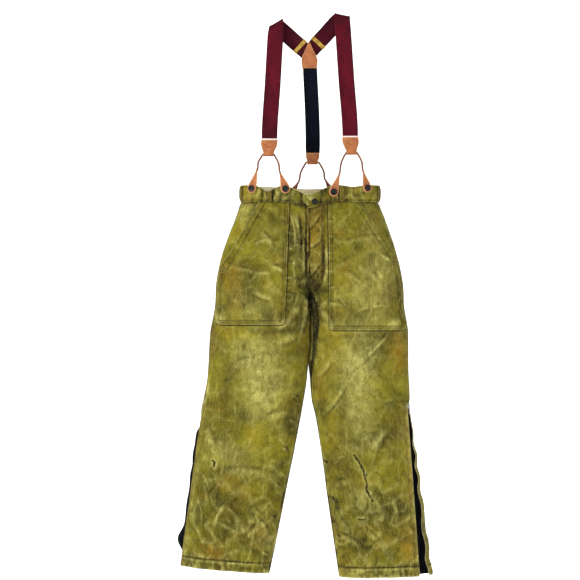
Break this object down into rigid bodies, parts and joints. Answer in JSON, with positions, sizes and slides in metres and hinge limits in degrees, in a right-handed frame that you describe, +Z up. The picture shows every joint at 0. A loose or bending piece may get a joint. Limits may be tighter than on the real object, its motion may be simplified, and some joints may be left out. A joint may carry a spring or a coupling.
{
  "type": "canvas work trousers with braces",
  "caption": "Heavy canvas over-trousers with patch pockets and zip-open lower legs, hanging by button-on braces with leather ends and brass adjusters.",
  "frame": {"origin": "middle of the line that the two brace straps hang over, halfway between their front and back runs", "axes": "+Z up along the hanging garment, +X to the wearer's left, -Y the front"},
  "size_m": [0.6514, 0.1442, 1.4649],
  "materials": {
    "canvas": "heavy olive cotton duck, waxed and worn",
    "canvas_trim": "darker olive cotton duck",
    "lining": "pale cotton lining",
    "gusset_cloth": "black proofed nylon",
    "zip_tape": "pale zip tape with moulded teeth",
    "zip_steel": "nickelled zip hardware",
    "maroon_webbing": "satin-faced elastic webbing",
    "navy_elastic": "dense elastic webbing",
    "tan_leather": "tan bridle leather",
    "dark_leather": "red-brown leather, rough side",
    "brass": "polished brass",
    "button": "dark moulded button"
  },
  "bodies": {
    "waist": {"front_panel_right_upper": "canvas", "back_panel_right_upper": "canvas", "thigh_bend_right": "canvas", "front_panel_left_upper": "canvas", "back_panel_left_upper": "canvas", "thigh_bend_left": "canvas", "waistband": "canvas", "waistband_lining": "lining", "belt_loop_front_right": "canvas_trim", "belt_loop_front_left": "canvas_trim", "belt_loop_side_right": "canvas_trim", "belt_loop_side_left": "canvas_trim", "belt_loop_back": "canvas_trim", "front_pocket_right": "canvas", "front_pocket_left": "canvas", "back_pocket_right": "canvas", "back_pocket_left": "canvas", "fly_flap": "canvas", "fly_zip_chain": "brass", "fly_shield": "canvas_trim", "waist_button": "button", "brace_strap_right": "maroon_webbing", "leather_end_right": "tan_leather", "brace_button_front_right_outer": "button", "brace_button_front_right_inner": "button", "button_loop_right": "tan_leather", "brace_strap_left": "maroon_webbing", "leather_end_left": "tan_leather", "brace_button_front_left_inner": "button", "brace_button_front_left_outer": "button", "button_loop_left": "tan_leather", "brace_strap_back": "navy_elastic", "leather_end_back": "tan_leather", "brace_button_back_right": "button", "brace_button_back_left": "button", "button_loop_back": "dark_leather", "yoke_inner": "tan_leather", "yoke_outer": "tan_leather"},
    "leg_right": {"front_panel_right_lower": "canvas", "back_panel_right_lower": "canvas", "leg_zip_front_chain_right": "zip_tape", "leg_zip_back_chain_right": "zip_tape", "leg_gusset_right": "gusset_cloth"},
    "leg_left": {"front_panel_left_lower": "canvas", "back_panel_left_lower": "canvas", "leg_zip_front_chain_left": "zip_tape", "leg_zip_back_chain_left": "zip_tape", "leg_gusset_left": "gusset_cloth"},
    "zip_slider_right": {"leg_zip_slider_right": "zip_steel"},
    "zip_slider_left": {"leg_zip_slider_left": "zip_steel"},
    "zip_pull_right": {"leg_zip_pull_right": "zip_steel"},
    "zip_pull_left": {"leg_zip_pull_left": "zip_steel"},
    "fly_slider": {"fly_zip_slider": "brass", "fly_zip_pull": "brass"},
    "adjuster_right": {"adjuster_frame_right": "brass"},
    "adjuster_left": {"adjuster_frame_left": "brass"},
    "lever_right": {"adjuster_lever_right": "brass"},
    "lever_left": {"adjuster_lever_left": "brass"}
  },
  "joints": [
    {"name": "leg_swing_right", "type": "hinge", "parent": "waist", "child": "leg_right", "pos_m": [0, 0, -0.876], "axis": [-1, 0, 0], "range_deg": [-15, 35], "deforming": ["thigh_bend_right"]},
    {"name": "leg_swing_left", "type": "hinge", "parent": "waist", "child": "leg_left", "pos_m": [0, 0, -0.876], "axis": [-1, 0, 0], "range_deg": [-15, 35], "deforming": ["thigh_bend_left"]},
    {"name": "leg_zip_slide_right", "type": "slide", "parent": "leg_right", "child": "zip_slider_right", "axis": [-0.1347, -0.0095, -0.9908], "range_m": [0, 0.4]},
    {"name": "leg_zip_slide_left", "type": "slide", "parent": "leg_left", "child": "zip_slider_left", "axis": [0.0746, -0.0225, -0.997], "range_m": [0, 0.41]},
    {"name": "leg_zip_pull_right", "type": "hinge", "parent": "zip_slider_right", "child": "zip_pull_right", "pos_m": [-0.28091, 0.00578, -1.00639], "axis": [0.152, 0.9879, -0.0301], "range_deg": [0, 150]},
    {"name": "leg_zip_pull_left", "type": "hinge", "parent": "zip_slider_left", "child": "zip_pull_left", "pos_m": [0.25703, -0.01842, -1.00655], "axis": [-0.2639, -0.9645, 0.002], "range_deg": [0, 150]},
    {"name": "fly_zip_slide", "type": "slide", "parent": "waist", "child": "fly_slider", "axis": [0, -0.032, -0.9995], "range_m": [0, 0.12]},
    {"name": "adjuster_slide_right", "type": "slide", "parent": "waist", "child": "adjuster_right", "axis": [-0.7512, -0.0812, 0.655], "range_m": [0, 0.04]},
    {"name": "adjuster_slide_left", "type": "slide", "parent": "waist", "child": "adjuster_left", "axis": [0.6805, -0.0902, 0.7271], "range_m": [0, 0.04]},
    {"name": "adjuster_lever_right", "type": "hinge", "parent": "adjuster_right", "child": "lever_right", "pos_m": [-0.02939, 0.02131, -0.06592], "axis": [0.66, -0.0924, 0.7455], "range_deg": [0, 100]},
    {"name": "adjuster_lever_left", "type": "hinge", "parent": "adjuster_left", "child": "lever_left", "pos_m": [0.02497, 0.02267, -0.05597], "axis": [0.7327, 0.0837, -0.6754], "range_deg": [0, 100]}
  ]
}
